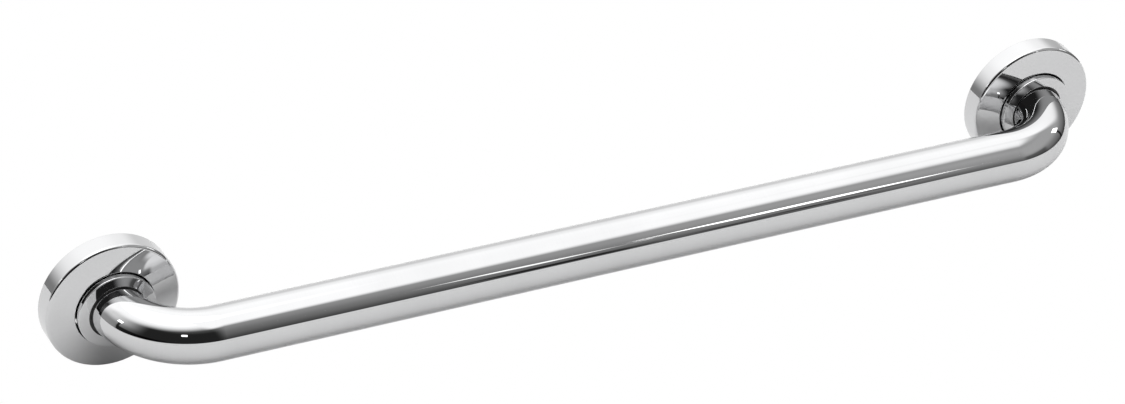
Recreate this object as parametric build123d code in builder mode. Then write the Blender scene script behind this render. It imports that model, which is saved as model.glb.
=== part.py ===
from build123d import *
from math import sqrt
import os

# A wall-mounted grab rail: one bent tube, welded at each end to a mounting plate
# that three countersunk screws hold to the wall. A collar and a rose cover hide
# each plate. The rose cover pulls off its plate along the leg, to reach the screws.
#
# +X runs along the bar, +Z is up and the wall is the plane Y = 0, with the rail
# standing out towards -Y. The origin is on the wall, midway between the two legs.

os.makedirs("parts", exist_ok=True)

# Rail tube
tube_d = 32.0
tube_wall = 1.5
leg_centres = 609.6
leg_straight = 14.0
bend_radius = 44.0

# Rose cover; its land is the ring of cover between the collar and the rim, and its
# face rises a little from the rim to the hole
rose_land = 17.0
rose_depth = 13.2
rose_rise = 2.5
rose_wall = 1.2
rose_edge = 2.0
rose_hole_edge = 0.4
rose_foot_edge = 0.3

# Collar
collar_rise = 3.8
collar_wall = 3.5
collar_lip = 3.0
collar_edge = 0.6
collar_mouth_edge = 0.25

# Mounting plate
plate_t = 4.0
plate_edge = 0.3
boss_wall = 4.0
boss_margin = 3.0
boss_edge = 0.5
weld_leg = 2.0

# Screw holes, for 5 mm countersunk screws
screw_count = 3
screw_first_angle = 90.0
screw_hole_d = 5.5
screw_head_d = 11.0
screw_head_angle = 90.0

# Rubber parts
gasket_t = 1.0
gasket_hole_d = 6.5
gasket_inset = 1.5
o_ring_cord = 2.0
seal_wall = 1.0
seal_flange = 2.0
seal_flange_t = 1.3
seal_recess = 0.4

# Clearances and fits
wall_gap = 0.3
tube_socket_gap = 0.05
collar_to_cover_gap = 0.6
plate_to_cover_gap = 0.7
o_ring_to_cover_gap = 0.1
o_ring_groove_gap = 0.02
o_ring_groove_side_gap = 0.1
seal_to_tube_gap = 0.03
screw_head_to_collar_gap = 1.0
weld_to_gasket_gap = 1.0

# Sizes that follow from those above
tube_r = tube_d / 2
stand_off = leg_straight + bend_radius
plate_front = gasket_t + plate_t
boss_r = tube_r + boss_wall
boss_top = leg_straight - boss_margin
collar_r = boss_r + collar_wall
rose_r = collar_r + rose_land
skirt_r = rose_r - rose_wall
rose_top = rose_depth + rose_rise
collar_top = rose_top + collar_rise
collar_roof = collar_top - collar_lip
mouth_r = tube_r + seal_wall
cover_hole_r = collar_r + collar_to_cover_gap
face_slope = rose_rise / (rose_r - cover_hole_r)
face_wall = rose_wall * sqrt(1 + face_slope**2)
plate_r = skirt_r - plate_to_cover_gap
o_ring_r = skirt_r - o_ring_to_cover_gap - o_ring_cord / 2
groove_floor_r = o_ring_r - o_ring_cord / 2 - o_ring_groove_gap
groove_width = o_ring_cord + 2 * o_ring_groove_side_gap
plate_middle = gasket_t + plate_t / 2
screw_circle_r = collar_r + screw_head_to_collar_gap + screw_head_d / 2


def foot_plane(x):
    """The foot of a leg: local z points away from the wall, local y is up."""
    return Plane(origin=(x, 0, 0), x_dir=(1, 0, 0), z_dir=(0, -1, 0))


def half_section(x):
    """A plane through a leg's axis: local x is the radius, local y the height off the wall."""
    return Plane(origin=(x, 0, 0), x_dir=(1, 0, 0), z_dir=(0, 0, -1))


def leg_axis(x):
    return Axis((x, 0, 0), (0, -1, 0))


def rail_run():
    """The tube's centre line: out from one plate, along the bar and back to the other."""
    end = leg_centres / 2
    corners = [
        (-end, -gasket_t, 0),
        (-end, -stand_off, 0),
        (end, -stand_off, 0),
        (end, -gasket_t, 0),
    ]
    return FilletPolyline(*corners, radius=bend_radius)


def mounting_plate(x):
    """Steel plate with a boss that the tube passes through, and a groove round its rim."""
    foot = foot_plane(x)
    with BuildPart(foot) as plate:
        with BuildSketch(foot.offset(gasket_t)):
            Circle(plate_r)
        extrude(amount=plate_t)
        chamfer(plate.edges().filter_by(GeomType.CIRCLE), plate_edge)
        with BuildSketch(foot.offset(plate_front)):
            Circle(boss_r)
        extrude(amount=boss_top - plate_front)
        chamfer(plate.edges().sort_by(Axis.Y)[0], boss_edge)
        with Locations((0, 0, boss_top)):
            Hole(tube_r + tube_socket_gap)
        with BuildSketch(half_section(x)):
            with BuildLine():
                Polyline(*weld_corners(), close=True)
            make_face()
        revolve(axis=leg_axis(x), mode=Mode.SUBTRACT)
        with BuildSketch(foot.offset(plate_middle - groove_width / 2)):
            Circle(skirt_r)
            Circle(groove_floor_r, mode=Mode.SUBTRACT)
        extrude(amount=groove_width, mode=Mode.SUBTRACT)
        with Locations((0, 0, plate_front)):
            with PolarLocations(screw_circle_r, screw_count, screw_first_angle):
                CounterSinkHole(
                    screw_hole_d / 2,
                    screw_head_d / 2,
                    counter_sink_angle=screw_head_angle,
                )
    return plate.part


def weld_corners():
    """The triangle between the tube and the bevel at the back of the plate's hole."""
    return [
        (tube_r, gasket_t),
        (tube_r + weld_leg, gasket_t),
        (tube_r, gasket_t + weld_leg),
    ]


def tube_weld(x):
    """Weld metal that joins the tube's end to the back of the plate, ground flush."""
    with BuildPart() as weld:
        with BuildSketch(half_section(x)):
            with BuildLine():
                Polyline(*weld_corners(), close=True)
            make_face()
        revolve(axis=leg_axis(x))
    return weld.part


def wall_gasket(x):
    """Thin rubber disc between the plate and the wall."""
    foot = foot_plane(x)
    with BuildPart(foot) as gasket:
        with BuildSketch(foot):
            Circle(plate_r - gasket_inset)
            Circle(tube_r + weld_leg + weld_to_gasket_gap, mode=Mode.SUBTRACT)
            with PolarLocations(screw_circle_r, screw_count, screw_first_angle):
                Circle(gasket_hole_d / 2, mode=Mode.SUBTRACT)
        extrude(amount=gasket_t)
    return gasket.part


def cover_o_ring(x):
    """Rubber ring in the plate's groove that grips the inside of the rose cover."""
    with BuildPart() as ring:
        with BuildSketch(half_section(x)):
            with Locations((o_ring_r, plate_middle)):
                Circle(o_ring_cord / 2)
        revolve(axis=leg_axis(x))
    return ring.part


def collar(x):
    """Turned ring, pressed on the plate's boss, that closes in round the tube."""
    corners = [
        (boss_r, plate_front),
        (collar_r, plate_front),
        (collar_r, collar_top),
        (mouth_r, collar_top),
        (mouth_r, collar_roof),
        (boss_r, collar_roof),
    ]
    with BuildPart() as ring:
        with BuildSketch(half_section(x)):
            with BuildLine():
                Polyline(*corners, close=True)
            make_face()
        revolve(axis=leg_axis(x))
        top_edges = ring.edges().group_by(Axis.Y)[0].sort_by(SortBy.RADIUS)
        fillet(top_edges[-1], collar_edge)
        mouth_edge = ring.edges().group_by(Axis.Y)[0].sort_by(SortBy.RADIUS)[0]
        fillet(mouth_edge, collar_mouth_edge)
    return ring.part


def collar_seal(x):
    """Rubber ring in the collar's mouth, moulded to the start of the tube's bend."""
    flange_foot = collar_roof - seal_flange_t
    corners = [
        (tube_r - seal_wall, flange_foot),
        (mouth_r + seal_flange, flange_foot),
        (mouth_r + seal_flange, collar_roof),
        (mouth_r, collar_roof),
        (mouth_r, collar_top - seal_recess),
        (tube_r - seal_wall, collar_top - seal_recess),
    ]
    with BuildPart() as seal:
        with BuildSketch(half_section(x)):
            with BuildLine():
                Polyline(*corners, close=True)
            make_face()
        revolve(axis=leg_axis(x))
        with BuildLine() as run:
            rail_run()
        with BuildSketch(Plane(origin=run.line @ 0, z_dir=run.line % 0)):
            Circle(tube_r + seal_to_tube_gap)
        sweep(path=run.line, mode=Mode.SUBTRACT)
    return seal.part


def rose_cover(x):
    """Pressed shell with a shallow cone for a face, a rounded rim and a hole for the collar."""
    foot = (rose_r, wall_gap)
    rim = (rose_r, rose_depth)
    hole_top = (cover_hole_r, rose_top)
    hole_bottom = (cover_hole_r, rose_top - face_wall)
    inner_rim = (skirt_r, rose_depth + rose_wall * face_slope - face_wall)
    inner_foot = (skirt_r, wall_gap)
    roundings = {
        foot: rose_foot_edge,
        rim: rose_edge,
        hole_top: rose_hole_edge,
        inner_rim: rose_edge - rose_wall,
    }
    with BuildPart() as cover:
        with BuildSketch(half_section(x)) as section:
            with BuildLine():
                Polyline(foot, rim, hole_top, hole_bottom, inner_rim, inner_foot, close=True)
            make_face()
            for corner, radius in roundings.items():
                fillet(section.vertices().sort_by_distance(corner)[0], radius)
        revolve(axis=leg_axis(x))
    return cover.part


with BuildPart() as rail_tube:
    with BuildLine() as centre_line:
        rail_run()
    with BuildSketch(Plane(origin=centre_line.line @ 0, z_dir=centre_line.line % 0)):
        Circle(tube_r)
        Circle(tube_r - tube_wall, mode=Mode.SUBTRACT)
    sweep(path=centre_line.line)
rail_tube.part.label = "rail_tube"
export_step(rail_tube.part, "parts/rail_tube.step")

end_pieces = [
    mounting_plate,
    tube_weld,
    wall_gasket,
    cover_o_ring,
    collar,
    collar_seal,
    rose_cover,
]
leg_places = {"left": -leg_centres / 2, "right": leg_centres / 2}

for side, leg_x in leg_places.items():
    for make_piece in end_pieces:
        piece = make_piece(leg_x)
        piece.label = f"{side}_{make_piece.__name__}"
        export_step(piece, f"parts/{piece.label}.step")
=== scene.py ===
# %% [markdown]
# # A polished grab rail
# The rail is one bent tube between two round roses, all of it polished to a mirror. The packed
# CAD model is the frame: it says where every part lies. This first step loads it and keeps its
# parts, whose boxes give the finished pieces their sizes.

# %% Load the frame
import math
import bmesh
import bpy
from mathutils import Matrix, Quaternion, Vector


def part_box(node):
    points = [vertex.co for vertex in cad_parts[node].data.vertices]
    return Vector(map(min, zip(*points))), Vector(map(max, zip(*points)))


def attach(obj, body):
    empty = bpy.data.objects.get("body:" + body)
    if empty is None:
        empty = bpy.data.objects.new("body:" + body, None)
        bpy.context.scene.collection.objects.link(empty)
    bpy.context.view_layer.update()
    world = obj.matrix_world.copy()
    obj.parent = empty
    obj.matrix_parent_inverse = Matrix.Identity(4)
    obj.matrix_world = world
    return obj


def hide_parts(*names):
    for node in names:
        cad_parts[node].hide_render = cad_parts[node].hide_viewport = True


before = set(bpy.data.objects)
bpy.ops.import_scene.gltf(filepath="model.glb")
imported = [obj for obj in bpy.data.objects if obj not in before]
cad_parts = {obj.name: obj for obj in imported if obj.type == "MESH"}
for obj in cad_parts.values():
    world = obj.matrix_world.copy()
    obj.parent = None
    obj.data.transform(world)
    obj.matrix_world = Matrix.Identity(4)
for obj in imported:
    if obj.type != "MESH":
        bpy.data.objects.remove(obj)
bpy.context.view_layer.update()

# %% [markdown]
# ## Sizes taken from the frame
# A piece that replaces a CAD part has to fill the same space, so its outer sizes are read
# from that part's box. Only what a box can't show, such as a wall's thickness or the
# rounding of an edge, is written here as a named value, in metres.

# %% Read the outer sizes
MM = 0.001
UM = 0.000001
SIDES = ("left", "right")


def middle(node):
    low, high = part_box(node)
    return (low + high) / 2


def to_tenth(value):
    """Rounds metres to a tenth of a millimetre, which undoes the facets of the CAD mesh."""
    return round(value, 4)


def turned_sizes(node):
    """The radius of a part turned about a leg, and its lowest and highest height off the wall."""
    low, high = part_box(node)
    return to_tenth((high.z - low.z) / 2), to_tenth(-high.y), to_tenth(-low.y)


leg_x = {side: to_tenth(middle(f"{side}_collar").x) for side in SIDES}
half_span = leg_x["right"]
tube_r, tube_foot, bar_front = turned_sizes("rail_tube")
bar_y = tube_r - bar_front
bend_r = 44 * MM
tube_wall = 1.5 * MM
straight_end = -bar_y - bend_r
print("tube radius", round(tube_r / MM, 2), "mm, bar axis", round(-bar_y / MM, 2), "mm off the wall")

# %% [markdown]
# ## The camera
# The rail is looked at from above its left end with a long lens, so its two ends keep nearly
# the same scale. The camera aims at a point near the middle of the bar, and is turned a
# little about its own axis, which lets the bar rise across the frame.

# %% Camera
AIM = Vector((-0.0298, -0.0290, 0.0163))
AZIMUTH = math.radians(-29.501)
ELEVATION = math.radians(33.611)
ROLL = math.radians(5.079)
DISTANCE = 2.6927
SENSOR_WIDTH = 36
LENS = 147.51
backwards = Vector((
    math.sin(AZIMUTH) * math.cos(ELEVATION),
    -math.cos(AZIMUTH) * math.cos(ELEVATION),
    math.sin(ELEVATION),
))
camera = bpy.data.objects.new("camera", bpy.data.cameras.new("camera"))
bpy.context.scene.collection.objects.link(camera)
camera.data.sensor_width = SENSOR_WIDTH
camera.data.lens = LENS
camera.location = AIM + backwards * DISTANCE
camera.rotation_mode = "QUATERNION"
camera.rotation_quaternion = (-backwards).to_track_quat("-Z", "Y") @ Quaternion((0, 0, 1), ROLL)
bpy.context.scene.camera = camera
print("camera", [round(v, 3) for v in camera.location])

# %% [markdown]
# ## Making a piece
# Every piece is modelled in a bmesh with its place already in its points, so its object
# stays at the origin. Mirror metal shows each facet, so faces are smooth, and only edges
# sharper than a limit stay sharp. Large flat faces decide the normals at their borders, or
# else a narrow rounded edge would bend the reflection in the whole flat beside it.

# %% Helpers for pieces
SHARP = math.radians(32)
TURNED_STEPS = 176


def close_up(bm):
    """Merges doubled points and turns every face outwards, before a wall gets its thickness."""
    bmesh.ops.remove_doubles(bm, verts=bm.verts, dist=0.5 * UM)
    bmesh.ops.recalc_face_normals(bm, faces=bm.faces)


def finish_piece(name, bm, body, replaced):
    """An object from a bmesh, riding on a CAD body in place of one CAD node."""
    mesh = bpy.data.meshes.new(name)
    bm.to_mesh(mesh)
    bm.free()
    mesh.shade_smooth()
    mesh.set_sharp_from_angle(angle=SHARP)
    piece = bpy.data.objects.new(name, mesh)
    bpy.context.scene.collection.objects.link(piece)
    flats = piece.modifiers.new("flats_first", "WEIGHTED_NORMAL")
    flats.keep_sharp = True
    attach(piece, body)
    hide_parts(replaced)
    size = [round((max(c[i] for c in piece.bound_box) - min(c[i] for c in piece.bound_box)) / MM, 1)
            for i in range(3)]
    print(name, len(mesh.polygons), "faces,", size, "mm")
    return piece


def cut_back(corners, number, radius):
    """How far from a corner, along both of its sides, a rounding of this radius starts."""
    here = Vector(corners[number])
    before = Vector(corners[number - 1]) - here
    after = Vector(corners[(number + 1) % len(corners)]) - here
    return radius / math.tan(before.angle(after) / 2)


def spin_round_leg(bm, side):
    """Turns a section's outline once round a leg's axis, and closes up the result."""
    bmesh.ops.spin(
        bm, geom=bm.edges[:], cent=(leg_x[side], 0, 0), axis=(0, 1, 0),
        angle=math.tau, steps=TURNED_STEPS, use_merge=True,
    )
    close_up(bm)


def turned(side, corners, rounding):
    """A ring turned about a leg's axis from its section's (radius, height) corners.

    rounding maps a corner's number to (radius, segments)."""
    bm = bmesh.new()
    points = [bm.verts.new((leg_x[side] + r, -h, 0)) for r, h in corners]
    bm.faces.new(points)
    for number, (radius, count) in rounding.items():
        bmesh.ops.bevel(
            bm, geom=[points[number]], offset=cut_back(corners, number, radius),
            offset_type="OFFSET", segments=count, profile=0.5, affect="VERTICES", material=-1,
        )
    bmesh.ops.delete(bm, geom=bm.faces[:], context="FACES_ONLY")
    spin_round_leg(bm, side)
    return bm


print("edges stay sharp above", round(math.degrees(SHARP)), "degrees,", TURNED_STEPS, "steps a turn")

# %% [markdown]
# ## Bending the tube
# The real rail is a straight polished tube bent twice on a mandrel. The model goes the same
# way: one circle at the wall is pushed along the leg, spun round the bend, pushed along the
# bar, spun again and pushed down to the second plate. Spinning the circle keeps the bend
# perfectly round, where a curve with a bevel would need more points for the same smoothness.
# The wall's thickness comes last, as an inner skin.

# %% Rail tube
ROUND_TUBE = 160
BEND_STEPS = 60


def push(bm, edges, offset):
    """Pushes an open ring of edges on by an offset, and leaves a straight stretch behind it."""
    made = bmesh.ops.extrude_edge_only(bm, edges=edges)["geom"]
    bmesh.ops.translate(bm, verts=[g for g in made if isinstance(g, bmesh.types.BMVert)], vec=offset)
    return [g for g in made if isinstance(g, bmesh.types.BMEdge)]


def bend(bm, edges, centre):
    """Takes an open ring of edges round a quarter bend."""
    made = bmesh.ops.spin(
        bm, geom=edges, cent=centre, axis=(0, 0, 1), angle=math.pi / 2, steps=BEND_STEPS
    )
    return [g for g in made["geom_last"] if isinstance(g, bmesh.types.BMEdge)]


def across_leg(x, height):
    """Turns a circle made flat on the floor so that it lies across a leg."""
    return Matrix.Translation((x, -height, 0)) @ Matrix.Rotation(math.pi / 2, 4, "X")


tube = bmesh.new()
bmesh.ops.create_circle(
    tube, cap_ends=False, segments=ROUND_TUBE, radius=tube_r,
    matrix=across_leg(-half_span, tube_foot),
)
leg_length = straight_end - tube_foot
bend_x = half_span - bend_r
open_end = push(tube, tube.edges[:], (0, -leg_length, 0))
open_end = bend(tube, open_end, (-bend_x, -straight_end, 0))
open_end = push(tube, open_end, (2 * bend_x, 0, 0))
open_end = bend(tube, open_end, (bend_x, -straight_end, 0))
open_end = push(tube, open_end, (0, leg_length, 0))
close_up(tube)
bmesh.ops.solidify(tube, geom=tube.faces[:], thickness=tube_wall)
rail_tube = finish_piece("polished_rail_tube", tube, "rail", "rail_tube")

# %% [markdown]
# ## How far along the tube
# The polishing marks on a tube go round it, and they follow it through the bends. Object
# coordinates can't do that, so each point gets an attribute that holds its distance along
# the tube's centre line from the middle of the bar.

# %% Distance along the tube
BEND_LENGTH = bend_r * math.pi / 2


def distance_along(point):
    out = abs(point.x) - bend_x
    up = -point.y - straight_end
    if out <= 0:
        return abs(point.x)
    if up <= 0:
        return bend_x + BEND_LENGTH - up
    return bend_x + bend_r * math.atan2(out, up)


along = rail_tube.data.attributes.new("along", "FLOAT", "POINT")
distances = [math.copysign(distance_along(v.co), v.co.x) for v in rail_tube.data.vertices]
along.data.foreach_set("value", distances)
print("half of the tube is", round(max(distances) / MM, 1), "mm long")

# %% [markdown]
# ## Turning the rose covers
# A rose cover is pressed from sheet and spun on a lathe, which rounds its front edge. Its
# face isn't quite flat: it rises a little from the rim to the hole, so what it mirrors looks
# slightly shrunk. The model is its section, with each corner rounded by a vertex bevel, turned
# once about the leg. It is a real shell, open at the back, and its hole clears the collar.

# %% Rose covers
sheet_wall = 1.2 * MM
rim_round = 2.0 * MM
hole_round = 0.4 * MM
face_rise = 2.5 * MM
cover_hole_gap = 0.6 * MM
collar_r, collar_foot, collar_top = turned_sizes("left_collar")
rose_r, rose_foot, _ = turned_sizes("left_rose_cover")
cover_hole_r = collar_r + cover_hole_gap
cover_inside_r = rose_r - sheet_wall
face_slope = face_rise / (rose_r - cover_hole_r)
face_slant = math.hypot(1, face_slope)
lost_to_rounding = hole_round * (face_slope + face_slant - 1)
hole_front = to_tenth(lost_to_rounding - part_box("left_rose_cover")[0].y)
rim_front = hole_front - face_rise
wall_up = sheet_wall * face_slant
COVER_SECTION = [
    (rose_r, rose_foot),
    (rose_r, rim_front),
    (cover_hole_r, hole_front),
    (cover_hole_r, hole_front - wall_up),
    (cover_inside_r, rim_front + sheet_wall * face_slope - wall_up),
    (cover_inside_r, rose_foot),
]
COVER_ROUNDING = {
    0: (0.3 * MM, 3),
    1: (rim_round, 12),
    2: (hole_round, 5),
    4: (rim_round - sheet_wall, 5),
}
rose_covers = [
    finish_piece(
        f"{side}_polished_rose_cover", turned(side, COVER_SECTION, COVER_ROUNDING),
        f"{side}_cover", f"{side}_rose_cover",
    )
    for side in SIDES
]

# %% [markdown]
# ## Turning the collars
# The collar is a solid turned ring that is pressed on the plate's boss. Its crisp front edge
# is only broken, not rounded like the cover's, and its mouth leaves room for a rubber seal.

# %% Collars
boss_r = 20.0 * MM
seal_wall = 1.0 * MM
collar_lip = 3.0 * MM
mouth_r = tube_r + seal_wall
COLLAR_SECTION = [
    (boss_r, collar_foot),
    (collar_r, collar_foot),
    (collar_r, collar_top),
    (mouth_r, collar_top),
    (mouth_r, collar_top - collar_lip),
    (boss_r, collar_top - collar_lip),
]
COLLAR_ROUNDING = {1: (0.2 * MM, 2), 2: (0.6 * MM, 6), 3: (0.25 * MM, 4)}
collars = [
    finish_piece(
        f"{side}_polished_collar", turned(side, COLLAR_SECTION, COLLAR_ROUNDING),
        "rail", f"{side}_collar",
    )
    for side in SIDES
]

# %% [markdown]
# ## Moulding the rubber parts
# Three rubber parts hide behind the metal: a seal that closes the collar's mouth, an O-ring
# that grips the cover from inside, and a thin gasket on the wall. The first two are turned
# like the metal. The seal's lip has to follow the tube, which starts to bend before it leaves
# the collar, so the lip's rings are moved sideways by as much as the bend has moved there.

# %% Collar seals and O-rings
seal_r, seal_foot, seal_top = turned_sizes("left_collar_seal")
lip_r = tube_r + 0.03 * MM
seal_shoulder = collar_top - collar_lip
LIP_STEPS = 8
lip_heights = [seal_foot + (seal_top - seal_foot) * i / LIP_STEPS for i in range(LIP_STEPS + 1)]
SEAL_SECTION = [
    (seal_r, seal_foot),
    (seal_r, seal_shoulder),
    (mouth_r, seal_shoulder),
    (mouth_r, seal_top),
    *[(lip_r, height) for height in reversed(lip_heights)],
]
SEAL_ROUNDING = {0: (0.2 * MM, 3), 1: (0.2 * MM, 3)}


def bend_shift(height):
    """How far the tube's centre has moved along the bar at a height off the wall."""
    into_bend = max(0.0, height - straight_end)
    return bend_r - math.sqrt(bend_r**2 - into_bend**2)


def moulded_seal(side):
    bm = turned(side, SEAL_SECTION, SEAL_ROUNDING)
    inwards = -math.copysign(1, leg_x[side])
    for height in lip_heights:
        ring = [
            v for v in bm.verts
            if abs(-v.co.y - height) < UM
            and math.hypot(v.co.x - leg_x[side], v.co.z) < lip_r + UM
        ]
        bmesh.ops.translate(bm, verts=ring, vec=(inwards * bend_shift(height), 0, 0))
    return bm


CORD_SEGMENTS = 28
o_ring_cord = 2.0 * MM
o_ring_r, o_ring_foot, o_ring_top = turned_sizes("left_cover_o_ring")
o_ring_middle = (o_ring_foot + o_ring_top) / 2


def o_ring(side):
    """A round cord turned about the leg."""
    bm = bmesh.new()
    place = Matrix.Translation((leg_x[side] + o_ring_r - o_ring_cord / 2, -o_ring_middle, 0))
    bmesh.ops.create_circle(
        bm, cap_ends=False, segments=CORD_SEGMENTS, radius=o_ring_cord / 2, matrix=place
    )
    spin_round_leg(bm, side)
    return bm


rubber_parts = []
for side in SIDES:
    rubber_parts += [
        finish_piece(
            f"{side}_rubber_collar_seal", moulded_seal(side), "rail",
            f"{side}_collar_seal",
        ),
        finish_piece(
            f"{side}_rubber_o_ring", o_ring(side), "rail",
            f"{side}_cover_o_ring",
        ),
    ]

# %% [markdown]
# ## Punching the wall gaskets
# A gasket is punched from rubber sheet in one stroke: its rim, the opening for the tube and
# three screw holes. The model starts from those five outlines. Filling between them makes
# the sheet's face, pushing that face off the wall makes its thickness, and a small bevel
# breaks the cut edges.

# %% Wall gaskets
gasket_r, gasket_foot, gasket_top = turned_sizes("left_wall_gasket")
gasket_opening_r = 19.0 * MM
screw_circle_r = 30.0 * MM
gasket_screw_r = 3.25 * MM
cut_edge = 0.12 * MM
CUT_ANGLE = math.radians(60)
SCREW_ANGLES = [math.radians(a) for a in (90, 210, 330)]


def punched_gasket(side):
    bm = bmesh.new()
    outlines = [(0, 0, gasket_r, 132), (0, 0, gasket_opening_r, 90)]
    outlines += [
        (screw_circle_r * math.cos(a), screw_circle_r * math.sin(a), gasket_screw_r, 36)
        for a in SCREW_ANGLES
    ]
    for x, z, radius, count in outlines:
        place = Matrix.Translation((0, 0, z)) @ across_leg(leg_x[side] + x, gasket_foot)
        bmesh.ops.create_circle(bm, cap_ends=False, segments=count, radius=radius, matrix=place)
    bmesh.ops.triangle_fill(bm, edges=bm.edges[:], use_beauty=True, normal=(0, 1, 0))
    made = bmesh.ops.extrude_face_region(bm, geom=bm.faces[:], use_keep_orig=True)["geom"]
    front = [g for g in made if isinstance(g, bmesh.types.BMVert)]
    bmesh.ops.translate(bm, verts=front, vec=(0, gasket_foot - gasket_top, 0))
    close_up(bm)
    cut = [e for e in bm.edges if e.calc_face_angle(0) > CUT_ANGLE]
    bmesh.ops.bevel(
        bm, geom=cut, offset=cut_edge, offset_type="OFFSET", segments=2, profile=0.5,
        affect="EDGES", material=-1,
    )
    return bm


rubber_parts += [
    finish_piece(
        f"{side}_rubber_wall_gasket", punched_gasket(side), "rail",
        f"{side}_wall_gasket",
    )
    for side in SIDES
]

# %% [markdown]
# ## A way to write shader maths
# A finish mixes many numbers, and a Math node for each sum is slow to read. One small class
# wraps a socket so that sums on it are written as sums. A second one holds a node tree and
# makes every other node from its type, its settings and the values or links of its sockets.

# %% Shader maths
class Amount:
    """A number on a socket in a node tree, which can be added, multiplied and so on."""

    def __init__(self, tree, socket):
        self.tree = tree
        self.socket = socket

    def _maths(self, operation, first, second):
        return self.tree.node("ShaderNodeMath", {"operation": operation}, {0: first, 1: second})

    def __add__(self, other):
        return self._maths("ADD", self, other)

    def __sub__(self, other):
        return self._maths("SUBTRACT", self, other)

    def __rsub__(self, other):
        return self._maths("SUBTRACT", other, self)

    def __mul__(self, other):
        return self._maths("MULTIPLY", self, other)

    def __truediv__(self, other):
        return self._maths("DIVIDE", self, other)

    def __pow__(self, other):
        return self._maths("POWER", self, other)

    __radd__ = __add__
    __rmul__ = __mul__


class Finish:
    """The node tree of one finish, or of the studio round the rail."""

    def __init__(self, owner):
        owner.use_nodes = True
        self.owner = owner
        self.tree = owner.node_tree
        self.tree.nodes.clear()

    def node(self, kind, settings=None, inputs=None, output=0):
        """A node of this type. Its settings are set first, and then its sockets."""
        made = self.tree.nodes.new(kind)
        for key, value in (settings or {}).items():
            setattr(made, key, value)
        for key, value in (inputs or {}).items():
            if isinstance(value, Amount):
                self.tree.links.new(value.socket, made.inputs[key])
            else:
                made.inputs[key].default_value = value
        return Amount(self, made.outputs[output]) if len(made.outputs) else made

    def parts(self, vector):
        """The three numbers in a vector."""
        split = self.node("ShaderNodeSeparateXYZ", None, {0: vector}).socket.node
        return [Amount(self, split.outputs[i]) for i in range(3)]

    def join(self, x, y, z):
        return self.node("ShaderNodeCombineXYZ", None, {0: x, 1: y, 2: z})

    def step(self, amount, low, high):
        """0 below low and 1 above high, with a smooth ramp between them."""
        settings = {"interpolation_type": "SMOOTHSTEP"}
        return self.node("ShaderNodeMapRange", settings, {0: amount, 1: low, 2: high})

    def noise(self, vector, scale, detail=2.0, roughness=0.5):
        sockets = {"Vector": vector, "Scale": scale, "Detail": detail, "Roughness": roughness}
        return self.node("ShaderNodeTexNoise", None, sockets)

    def colour(self, mask, dark, light):
        """A colour between two colours."""
        settings = {"data_type": "RGBA"}
        return self.node("ShaderNodeMix", settings, {0: mask, 6: dark, 7: light}, output=2)

    def bump(self, height, depth, below=None):
        """A normal from a height of 0 to 1 that stands for a depth in metres."""
        sockets = {"Strength": 1.0, "Distance": depth, "Height": height}
        if below is not None:
            sockets["Normal"] = below
        return self.node("ShaderNodeBump", None, sockets)

    def surface(self, sockets):
        """Ends the tree with a Principled shader on its owner's surface."""
        shader = self.node("ShaderNodeBsdfPrincipled", None, sockets)
        self.node("ShaderNodeOutputMaterial", None, {"Surface": shader})


def new_finish(name):
    return Finish(bpy.data.materials.new(name))


def dress(pieces, material):
    """Gives a material to pieces that have none, or in place of a CAD part's own."""
    for piece in pieces:
        piece.data.materials.clear()
        piece.data.materials.append(material)
    print(material.name, "on", [piece.name for piece in pieces])


# %% [markdown]
# ## Where a point lies on a round part
# Both ends of the rail are alike, so one finish serves both: the distance of a point from the
# nearer leg's axis is worked out from the size of its X. That radius, with the height off the
# wall, says whether a point is on a rim, a face or inside a shell.

# %% Places on a round part
def object_place(finish):
    return finish.node("ShaderNodeTexCoord", output="Object")


def leg_place(finish, place):
    """The radius from the nearer leg's axis, the height off the wall, and beside plus above it."""
    x, y, z = finish.parts(place)
    beside = finish.node("ShaderNodeMath", {"operation": "ABSOLUTE"}, {0: x}) - half_span
    radius = (beside * beside + z * z) ** 0.5
    return radius, 0 - y, beside + z


def rings_place(finish, place, fine, long):
    """A place stretched for ring-shaped lines: fine across the rings, and long around them."""
    radius, height, around = leg_place(finish, place)
    return finish.join(radius * fine, height * fine, around * long)


# %% [markdown]
# ## The mirror polish
# Polished metal reflects nearly everything, so its own detail is faint: the sheet or tube is
# never quite flat, the polishing belt leaves hair-fine lines, and handling leaves a light haze
# and a few specks of dust. Bump gives the first two, and the roughness gives the rest. The
# heights are true sizes in metres, millionths of a metre for the lines.

# %% Mirror polish
MIRROR_DARK = (0.64, 0.642, 0.648, 1)
MIRROR_LIGHT = (0.70, 0.702, 0.707, 1)


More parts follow.
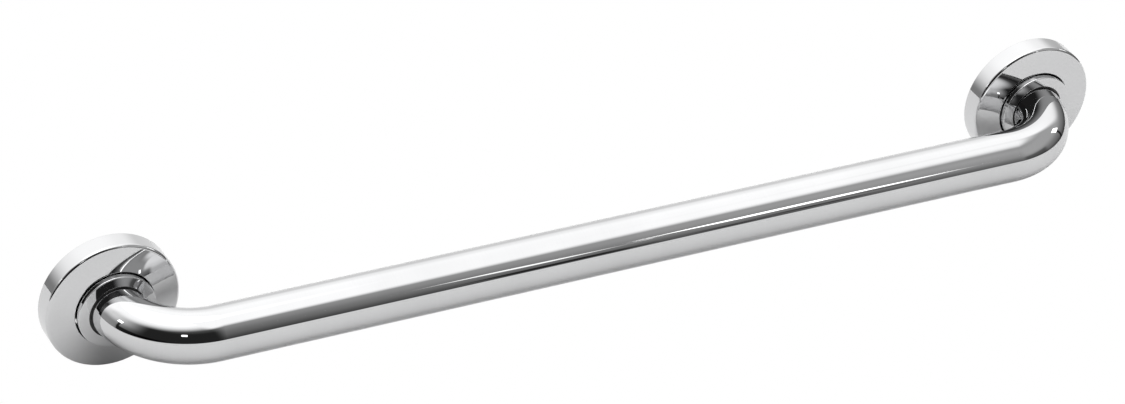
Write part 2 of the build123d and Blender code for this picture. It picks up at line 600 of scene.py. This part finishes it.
def mirror_polish(name, lines, wear=None, raw=None):
    """A mirror finish. lines gives the place its polishing lines follow, wear and raw give masks."""
    finish = new_finish(name)
    place = object_place(finish)
    waves = finish.noise(place, 34, 1.5, 0.4)
    ripples = finish.noise(place, 150, 1.0, 0.4)
    haze = finish.step(finish.noise(place, 46, 4.0, 0.62), 0.46, 0.74)
    smears = finish.step(finish.noise(place, 12, 2.0, 0.5), 0.52, 0.70) * haze
    specks = finish.step(finish.noise(place, 1400, 1.0, 0.5), 0.73, 0.80)
    hairs = finish.noise(lines(finish, place), 1.0, 2.0, 0.6)
    rough = 0.012 + 0.018 * hairs + 0.03 * haze + 0.05 * smears + 0.12 * specks
    shine = 0.75 * finish.noise(place, 21, 3.0, 0.5) + 0.25 * hairs
    if wear is not None:
        worn = wear(finish, place) * finish.step(finish.noise(place, 420, 3.0, 0.6), 0.38, 0.66)
        rough = rough + 0.10 * worn
        shine = shine - 0.35 * worn
    if raw is not None:
        unpolished = raw(finish, place)
        rough = rough + 0.30 * unpolished
        shine = shine - 0.55 * unpolished
    normal = finish.bump(waves, 5 * UM)
    normal = finish.bump(ripples, 0.35 * UM, normal)
    normal = finish.bump(hairs, 0.04 * UM, normal)
    finish.surface({
        "Base Color": finish.colour(finish.step(shine, 0.2, 0.8), MIRROR_DARK, MIRROR_LIGHT),
        "Metallic": 1.0,
        "Roughness": rough,
        "Normal": normal,
    })
    return finish.owner


# %% [markdown]
# The tube's lines go round it, and follow it through its bends by the distance kept on its
# points. Its mouth, on the wall side of the plates, was only sawn and is left raw.

# %% The tube's finish
def lines_round_tube(finish, place):
    way = finish.node("ShaderNodeAttribute", {"attribute_name": "along"}, output="Fac")
    _, y, z = finish.parts(place)
    return finish.join(way * 3200, y * 45, z * 45)


def raw_tube_mouth(finish, place):
    _, height, _ = leg_place(finish, place)
    return 1 - finish.step(height, 3.0 * MM, 5.0 * MM)


dress([rail_tube], mirror_polish("mirror_tube", lines_round_tube, raw=raw_tube_mouth))

# %% [markdown]
# The covers and collars were polished while they turned, so their lines are rings. A cover is
# touched and wiped most at its rounded rim and foot, where its polish is a little worn, and
# its inside was never polished.

# %% The finish of the covers and collars
def lines_in_rings(finish, place):
    return rings_place(finish, place, fine=3600, long=14)


def worn_rim(finish, place):
    radius, height, _ = leg_place(finish, place)
    out = finish.step(radius, rose_r - 1.6 * MM, rose_r - 0.2 * MM)
    front = finish.step(height, rim_front - 2.0 * MM, rim_front - 0.8 * MM)
    foot = 1 - finish.step(height, rose_foot, rose_foot + 1.2 * MM)
    return out * (front + foot)


def raw_inside(finish, place):
    radius, height, _ = leg_place(finish, place)
    inside_wall = 1 - finish.step(radius, cover_inside_r + 0.1 * MM, cover_inside_r + 0.5 * MM)
    below_face = rim_front - (radius - rose_r) * face_slope - height
    behind_face = finish.step(below_face, 0.5 * sheet_wall, 0.8 * sheet_wall)
    return inside_wall * behind_face


def worn_collar_edge(finish, place):
    radius, height, _ = leg_place(finish, place)
    out = finish.step(radius, collar_r - 0.7 * MM, collar_r - 0.1 * MM)
    return out * finish.step(height, collar_top - 1.0 * MM, collar_top - 0.2 * MM)


dress(rose_covers, mirror_polish("mirror_cover", lines_in_rings, worn_rim, raw_inside))
dress(collars, mirror_polish("mirror_collar", lines_in_rings, worn_collar_edge))

# %% [markdown]
# ## Steel that nobody sees
# The mounting plates are cut from plain steel and only turned, so their faces carry fine rings
# and a dull shine. The weld's heat has coloured the steel round it, straw first and then blue
# nearer the bead. The plates keep the CAD mesh, because its shape is already right.

# %% Plain steel plates
STEEL_DARK = (0.30, 0.30, 0.31, 1)
STEEL_LIGHT = (0.50, 0.50, 0.51, 1)
STRAW = (0.46, 0.33, 0.15, 1)
BLUE = (0.13, 0.16, 0.27, 1)
plate_r, plate_foot, _ = turned_sizes("left_mounting_plate")


def heat_tint(finish, radius, height, base):
    """Straw and blue rings round the weld, on the side that faces the wall."""
    back = 1 - finish.step(height, plate_foot + 1.5 * MM, plate_foot + 4.0 * MM)
    straw = back * (1 - finish.step(radius, tube_r + 4.5 * MM, tube_r + 8.0 * MM))
    blue = back * (1 - finish.step(radius, tube_r + 1.5 * MM, tube_r + 4.5 * MM))
    return finish.colour(0.7 * blue, finish.colour(0.6 * straw, base, STRAW), BLUE)


def turned_steel():
    finish = new_finish("turned_steel")
    place = object_place(finish)
    radius, height, _ = leg_place(finish, place)
    rings = finish.noise(rings_place(finish, place, fine=2600, long=9), 1.0, 3.0, 0.65)
    mill = finish.noise(place, 90, 4.0, 0.6)
    stains = finish.step(finish.noise(place, 38, 4.0, 0.6), 0.5, 0.72)
    rim = finish.step(radius, plate_r - 0.9 * MM, plate_r - 0.2 * MM)
    shine = finish.step(0.6 * rings + 0.4 * mill + 0.3 * rim - 0.2 * stains, 0.25, 0.75)
    normal = finish.bump(mill, 6 * UM)
    normal = finish.bump(rings, 3 * UM, normal)
    finish.surface({
        "Base Color": heat_tint(
            finish, radius, height, finish.colour(shine, STEEL_DARK, STEEL_LIGHT)
        ),
        "Metallic": 1.0,
        "Roughness": 0.26 + 0.16 * rings + 0.14 * stains - 0.08 * rim,
        "Normal": normal,
    })
    return finish.owner


plates = [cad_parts[f"{side}_mounting_plate"] for side in SIDES]
dress(plates, turned_steel())

# %% [markdown]
# A weld bead freezes in small overlapping ripples. Here it is ground flush with the plate, so
# the ripples are low, with grinding scratches across them and soot-dark spots in its pits.

# %% Ground weld
WELD_DARK = (0.10, 0.09, 0.09, 1)
WELD_LIGHT = (0.46, 0.44, 0.42, 1)


def ground_weld():
    finish = new_finish("ground_weld")
    place = object_place(finish)
    x, y, z = finish.parts(place)
    ripples = finish.node(
        "ShaderNodeTexVoronoi", {"feature": "SMOOTH_F1"}, {"Vector": place, "Scale": 620.0}
    )
    scratches = finish.noise(finish.join(x * 240, y * 2400, z * 4200), 1.0, 3.0, 0.6)
    pits = finish.step(finish.noise(place, 900, 3.0, 0.6), 0.60, 0.72)
    shine = finish.step(0.5 * ripples + 0.7 * scratches - 0.6 * pits, 0.15, 0.75)
    normal = finish.bump(ripples, 60 * UM)
    normal = finish.bump(scratches, 8 * UM, normal)
    finish.surface({
        "Base Color": finish.colour(shine, WELD_DARK, WELD_LIGHT),
        "Metallic": 1.0,
        "Roughness": 0.30 + 0.25 * scratches + 0.25 * pits,
        "Normal": normal,
    })
    return finish.owner


welds = [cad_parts[f"{side}_tube_weld"] for side in SIDES]
dress(welds, ground_weld())

# %% [markdown]
# ## Black rubber
# Rubber is never pure black: it has a fine grain from its mould, and a grey bloom of talc and
# dust that settles unevenly. It is the one finish here that isn't metal.

# %% Rubber
RUBBER_BLACK = (0.012, 0.012, 0.013, 1)
RUBBER_DUSTY = (0.065, 0.063, 0.060, 1)


def black_rubber():
    finish = new_finish("moulded_rubber")
    place = object_place(finish)
    grain = finish.noise(place, 2600, 2.0, 0.6)
    swirls = finish.noise(place, 160, 4.0, 0.65)
    bloom = finish.step(0.7 * swirls + 0.3 * grain, 0.42, 0.72)
    normal = finish.bump(swirls, 14 * UM)
    normal = finish.bump(grain, 9 * UM, normal)
    finish.surface({
        "Base Color": finish.colour(bloom, RUBBER_BLACK, RUBBER_DUSTY),
        "Roughness": 0.48 + 0.30 * bloom + 0.10 * grain,
        "Normal": normal,
    })
    return finish.owner


dress(rubber_parts, black_rubber())

# %% [markdown]
# ## The studio
# A mirror shows the room, so the room is what gives this rail its look. It stands on a pale
# table under a broad white ceiling light, with a white wall behind it and a dark room on the
# camera's side. The room is painted on the world by direction, as wide soft shapes. Seen
# straight on it is plain white, so the rail stands on a clean ground.

# %% Directions
class Room(Finish):
    """The world's tree, with shapes placed by azimuth and elevation in degrees.

    Azimuth 0 is straight behind the rail, and 90 is to its right, along +X."""

    def __init__(self, owner):
        super().__init__(owner)
        self.way = self.node("ShaderNodeTexCoord", output="Generated")
        self.x, self.y, self.up = self.parts(self.way)
        flat = (self.x * self.x + self.y * self.y + 0.0001) ** 0.5
        self.flat_x = self.x / flat
        self.flat_y = self.y / flat

    def above(self, low, high):
        """1 above the higher elevation and 0 below the lower one."""
        return self.step(self.up, math.sin(math.radians(low)), math.sin(math.radians(high)))

    def beside(self, azimuth, half_width, soft):
        """1 within half_width of an azimuth, and 0 past that and soft."""
        x = math.sin(math.radians(azimuth))
        y = math.cos(math.radians(azimuth))
        near = self.flat_x * x + self.flat_y * y
        edge = math.cos(math.radians(half_width))
        return self.step(near, math.cos(math.radians(half_width + soft)), edge)

    def box(self, azimuth, half_width, low, high, soft):
        """1 within half_width of an azimuth and between two elevations, and 0 past that and soft."""
        return (
            self.beside(azimuth, half_width, soft)
            * self.above(low - soft, low)
            * (1 - self.above(high, high + soft))
        )

    def toward(self, direction, inner, outer):
        """1 within the inner angle of a direction, and 0 outside the outer one."""
        near = self.x * direction.x + self.y * direction.y + self.up * direction.z
        return self.step(near, math.cos(math.radians(outer)), math.cos(math.radians(inner)))

    def rising(self, foot, *gains):
        """A wall's light: what it has at its foot, and each gain between two elevations."""
        light = foot
        for gain, low, high in gains:
            light = light + gain * self.above(low, high)
        return light

    def paint(self, below, mask, light):
        """light where the mask is 1, over what is below."""
        return below + mask * (light - below)

    def shade(self, below, share, mask):
        """Takes away a share of the light below where the mask is 1."""
        return below * (1 - share * mask)


world = bpy.data.worlds.new("studio")
bpy.context.scene.world = world
room = Room(world)
print("room made")

# %% [markdown]
# The walls come first, each with its own fall of light from top to bottom. Then a screen
# shades the foot of the back wall on the left, and two low dark things stand in the room, one
# to the left of the rail and one in front of it on the right. A light of 1 is plain white.

# %% Walls
dark_side = room.rising(0.022, (0.07, 40, 54))
left_wall = room.rising(0.36, (0.56, 8, 28), (0.25, 38, 52))
right_wall = room.rising(0.06, (0.18, -8, 8), (0.26, 5, 26), (-0.06, 40, 52))
back_wall = room.rising(0.84, (0.40, 8, 27), (0.25, 25, 48))
back_wall = room.shade(back_wall, 0.68, room.beside(-48, 14, 20) * (1 - room.above(-3, 15)))
light = room.paint(dark_side, room.beside(-10, 56, 50), left_wall)
light = room.paint(light, room.beside(98, 36, 36), right_wall)
light = room.paint(light, room.beside(10, 54, 13) * room.above(13, 30), back_wall)
light = room.paint(light, room.beside(-6, 46, 14), back_wall)
light = room.shade(light, 0.92, room.beside(-111, 25, 6) * (1 - room.above(4, 9)))
light = room.shade(light, 0.55, room.beside(130, 11, 8) * (1 - room.above(11, 18)))
print("walls painted with", len(room.tree.nodes), "nodes")

# %% [markdown]
# The ceiling light is one broad glow, brightest in its middle, with an arm that reaches down
# in front on the right. Below everything lies the table, where it runs on past the tabletop.
# Its far edge lies lower behind the rail than in front of it.

# %% Ceiling light and table
CEILING_TO = Vector((-0.066, 0.20, 0.98)).normalized()
CEILING_LIGHT = 1.42
CEILING_GLOW = 2.6
TABLE_LIGHT = 0.90
TABLE_EDGE_SOFT = 0.012
ceiling = CEILING_LIGHT + CEILING_GLOW * room.toward(CEILING_TO, inner=12, outer=26)
light = room.paint(light, room.toward(CEILING_TO, inner=25, outer=50.5), ceiling)
light = room.paint(light, room.beside(122, 34, 22) * room.above(51.5, 62.5), CEILING_LIGHT)
past_edge = room.up + 0.17 * room.y - 0.05 * room.y * room.y + 0.14
on_table = 1 - room.step(past_edge, -TABLE_EDGE_SOFT, TABLE_EDGE_SOFT)
light = room.paint(light, on_table, TABLE_LIGHT)
print("ceiling", round(CEILING_LIGHT + CEILING_GLOW, 2), "at its brightest, table", TABLE_LIGHT)

# %% [markdown]
# Lamps and their stands are the small bright shapes and black lines that make a mirror finish
# read as metal. A lamp is a small box of light, and a stand is a narrow box of shade. Each is
# listed with the azimuth of its middle, its half width, its lowest and highest elevation, and
# for a lamp its light.

# %% Lamps and stands
STAND_SHARE = 0.92
STAND_DARK = 0.01
STAND_SOFT = 0.6
LAMP_SOFT = 0.8
STANDS = [
    (-84, 1.2, -6, 17),
    (87, 1.2, -6, 14),
    (155.6, 0.8, 7, 13),
    (153.4, 0.3, 7, 11),
    (152.1, 0.4, 9.5, 13.5),
    (150.0, 0.3, 17.5, 21),
]
LAMPS = [
    (-83, 2.8, 18.8, 25.2, 3.2),
    (-156, 3.0, 33.5, 39.5, 3.2),
    (86, 3.3, 16, 26, 3.2),
    (149.3, 1.2, 24.4, 29.2, 3.2),
    (153.4, 0.3, 23.8, 29.8, 2.2),
]
for azimuth, half_width, low, high in STANDS:
    stand = room.box(azimuth, half_width, low, high, STAND_SOFT)
    light = room.paint(light, STAND_SHARE * stand, STAND_DARK)
for azimuth, half_width, low, high, power in LAMPS:
    light = room.paint(light, room.box(azimuth, half_width, low, high, LAMP_SOFT), power)
print(len(STANDS), "stands and", len(LAMPS), "lamps")

# %% [markdown]
# The world's background takes the painted light as its strength. A ray that comes straight
# from the camera sees plain white instead.

# %% Background
seen = room.node("ShaderNodeLightPath", output="Is Camera Ray")
strength = room.paint(light, seen, 1.0)
background = room.node(
    "ShaderNodeBackground", None, {"Color": (1, 1, 1, 1), "Strength": strength}
)
room.node("ShaderNodeOutputWorld", None, {"Surface": background})
print(len(room.tree.nodes), "nodes in the room")

# %% [markdown]
# ## The table
# The rail stands on its two roses on a pale tabletop. Its light and shade show in the metal,
# where they anchor the rail: a mirror with nothing close to it looks pasted on.

# %% Tabletop
table_gap = 0.3 * MM
TABLE_MIDDLE = Matrix.Translation((0, -0.15, -rose_r - table_gap))
TABLE_HALF_SIZE = Matrix.Diagonal((0.62, 0.42, 1, 1))
PAPER_DARK = (0.72, 0.72, 0.72, 1)
PAPER_LIGHT = (0.78, 0.78, 0.78, 1)
table_mesh = bpy.data.meshes.new("tabletop")
table_bm = bmesh.new()
bmesh.ops.create_grid(
    table_bm, x_segments=24, y_segments=24, size=1.0, matrix=TABLE_MIDDLE @ TABLE_HALF_SIZE
)
table_bm.to_mesh(table_mesh)
table_bm.free()
tabletop = bpy.data.objects.new("tabletop", table_mesh)
bpy.context.scene.collection.objects.link(tabletop)


def pale_table():
    finish = new_finish("pale_table")
    place = object_place(finish)
    fibres = finish.noise(place, 300, 3.0, 0.6)
    shade = finish.colour(fibres, PAPER_DARK, PAPER_LIGHT)
    paper = finish.node("ShaderNodeBsdfDiffuse", None, {"Color": shade})
    white = finish.node("ShaderNodeEmission", None, {"Color": (1, 1, 1, 1), "Strength": 1.0})
    seen = finish.node("ShaderNodeLightPath", output="Is Camera Ray")
    mixed = finish.node("ShaderNodeMixShader", None, {0: seen, 1: paper, 2: white})
    finish.node("ShaderNodeOutputMaterial", None, {"Surface": mixed})
    return finish.owner


dress([tabletop], pale_table())
bpy.context.scene.view_settings.view_transform = "Standard"
